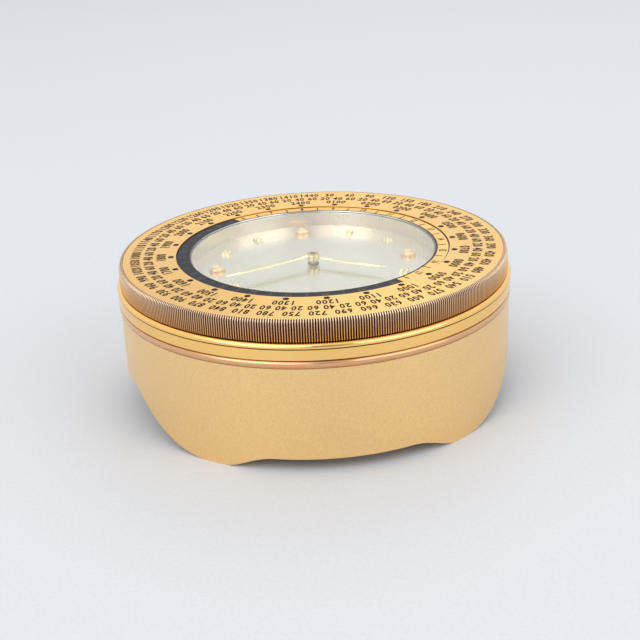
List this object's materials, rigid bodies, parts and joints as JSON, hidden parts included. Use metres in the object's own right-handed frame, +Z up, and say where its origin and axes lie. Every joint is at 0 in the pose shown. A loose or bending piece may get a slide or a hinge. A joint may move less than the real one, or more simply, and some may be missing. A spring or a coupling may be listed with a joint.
{
  "type": "table clock",
  "caption": "Round brass desk clock lying on its back: turning knurled bezel, day ring, hands under a flat glass, wound movement in a footed drum.",
  "frame": {"origin": "centre of the base, on the surface it stands on", "axes": "+Z up, out of the dial; -Y towards twelve o'clock on the dial and the viewer, +Y towards six, +X towards nine"},
  "size_m": [0.1098, 0.1098, 0.0412],
  "materials": {
    "satin_brass": "satin, fine turned grain, lacquered",
    "polished_brass": "polished",
    "printed_brass": "satin gilt with printed figures",
    "polished_rehaut": "polished",
    "glass": "clear",
    "gasket": "black",
    "silvered_dial": "silvered, fine sunray",
    "gilt": "polished gilt",
    "dark_steel": "dark",
    "steel": "polished steel",
    "blued_steel": "blued spring steel",
    "movement_brass": "matt brass"
  },
  "bodies": {
    "case": {"case_drum": "satin_brass", "base_plate": "satin_brass", "case_posts": "movement_brass", "base_screws": "steel", "case_screws": "steel", "case_ring": "polished_brass", "bezel_wire": "steel", "rehaut": "polished_rehaut", "crystal": "glass", "crystal_gasket": "gasket", "dial": "silvered_dial", "dial_washer": "dark_steel", "dial_pillars": "movement_brass", "large_markers": "gilt", "small_markers": "gilt", "minute_post": "steel", "transfer_post": "steel", "front_plate": "movement_brass", "back_plate": "movement_brass", "pillars": "movement_brass", "plate_screws": "steel", "holder_screws": "steel", "click_post": "steel", "click_spring": "steel", "balance_cock": "movement_brass", "cock_screw": "steel"},
    "bezel": {"bezel": "polished_brass", "world_ring": "printed_brass"},
    "minute_hand": {"cannon_pinion": "steel", "minute_hand": "gilt", "hand_nut": "gilt"},
    "hour_hand": {"hour_wheel": "movement_brass", "hour_hand": "gilt"},
    "minute_wheel": {"minute_wheel": "movement_brass"},
    "setting_knob": {"setting_arbor": "steel", "setting_knob": "satin_brass"},
    "transfer_wheel": {"transfer_wheel": "movement_brass"},
    "day_ring": {"day_ring_carrier": "movement_brass", "day_ring": "printed_brass"},
    "winding_key": {"barrel_arbor": "steel", "ratchet_wheel": "steel", "winding_key": "satin_brass"},
    "click": {"click": "steel"},
    "barrel": {"barrel": "movement_brass", "barrel_cover": "movement_brass", "mainspring": "blued_steel"},
    "centre_wheel": {"centre_wheel": "movement_brass"},
    "third_wheel": {"third_wheel": "movement_brass"},
    "fourth_wheel": {"fourth_wheel": "movement_brass"},
    "escape_wheel": {"escape_wheel": "movement_brass"},
    "pallets": {"pallet_fork": "steel"},
    "balance": {"balance_wheel": "movement_brass", "hairspring": "blued_steel"},
    "regulator": {"regulator": "steel"}
  },
  "joints": [
    {"name": "bezel_turn", "type": "hinge", "parent": "case", "child": "bezel", "pos_m": [0, 0, 0.038], "axis": [0, 0, 1], "continuous": true},
    {"name": "minute_hand_turn", "type": "hinge", "parent": "case", "child": "minute_hand", "pos_m": [0, 0, 0.031], "axis": [0, 0, 1], "continuous": true},
    {"name": "hour_hand_turn", "type": "hinge", "parent": "case", "child": "hour_hand", "pos_m": [0, 0, 0.032], "axis": [0, 0, 1], "continuous": true},
    {"name": "minute_wheel_turn", "type": "hinge", "parent": "case", "child": "minute_wheel", "pos_m": [0, 0.008, 0.031], "axis": [0, 0, 1], "continuous": true},
    {"name": "setting_turn", "type": "hinge", "parent": "case", "child": "setting_knob", "pos_m": [-0.00566, 0.01366, 0.012], "axis": [0, 0, 1], "continuous": true},
    {"name": "transfer_turn", "type": "hinge", "parent": "case", "child": "transfer_wheel", "pos_m": [0.01137, -0.0197, 0.033], "axis": [0, 0, 1], "continuous": true},
    {"name": "day_ring_turn", "type": "hinge", "parent": "case", "child": "day_ring", "pos_m": [0, 0, 0.04], "axis": [0, 0, 1], "continuous": true},
    {"name": "winding_turn", "type": "hinge", "parent": "case", "child": "winding_key", "pos_m": [-0.021, 0, 0.015], "axis": [0, 0, 1], "range_deg": [0, 2160]},
    {"name": "click_lift", "type": "hinge", "parent": "case", "child": "click", "pos_m": [-0.021, -0.0092, 0.0158], "axis": [0, 0, 1], "range_deg": [0, 5]},
    {"name": "fourth_wheel_turn", "type": "hinge", "parent": "case", "child": "fourth_wheel", "pos_m": [0.01924, 0.00994, 0.025], "axis": [0, 0, 1], "continuous": true},
    {"name": "third_wheel_turn", "type": "hinge", "parent": "case", "child": "third_wheel", "pos_m": [0.0135, 0, 0.023], "axis": [0, 0, 1], "continuous": true},
    {"name": "centre_wheel_turn", "type": "hinge", "parent": "case", "child": "centre_wheel", "pos_m": [0, 0, 0.027], "axis": [0, 0, 1], "continuous": true},
    {"name": "barrel_turn", "type": "hinge", "parent": "case", "child": "barrel", "pos_m": [-0.021, 0, 0.02], "axis": [0, 0, 1], "continuous": true},
    {"name": "escape_wheel_turn", "type": "hinge", "parent": "case", "child": "escape_wheel", "pos_m": [0.01924, 0.02074, 0.022], "axis": [0, 0, 1], "continuous": true},
    {"name": "pallet_swing", "type": "hinge", "parent": "case", "child": "pallets", "pos_m": [0.01199, 0.02412, 0.022], "axis": [0, 0, 1], "range_deg": [-5, 5]},
    {"name": "balance_swing", "type": "hinge", "parent": "case", "child": "balance", "pos_m": [0.00279, 0.02607, 0.02], "axis": [0, 0, 1], "range_deg": [-135, 135]},
    {"name": "regulator_turn", "type": "hinge", "parent": "case", "child": "regulator", "pos_m": [0.00279, 0.02607, 0.026], "axis": [0, 0, 1], "range_deg": [-12, 12]}
  ],
  "couplings": [
    {"joint": "hour_hand_turn", "follows": "minute_hand_turn", "ratio": 0.083333},
    {"joint": "minute_wheel_turn", "follows": "minute_hand_turn", "ratio": -0.33333},
    {"joint": "setting_turn", "follows": "minute_hand_turn", "ratio": 1},
    {"joint": "transfer_turn", "follows": "minute_hand_turn", "ratio": -0.1},
    {"joint": "day_ring_turn", "follows": "minute_hand_turn", "ratio": -0.041667},
    {"joint": "third_wheel_turn", "follows": "fourth_wheel_turn", "ratio": -0.13333},
    {"joint": "centre_wheel_turn", "follows": "fourth_wheel_turn", "ratio": 0.016667},
    {"joint": "barrel_turn", "follows": "fourth_wheel_turn", "ratio": -0.0027778},
    {"joint": "escape_wheel_turn", "follows": "fourth_wheel_turn", "ratio": -8}
  ]
}
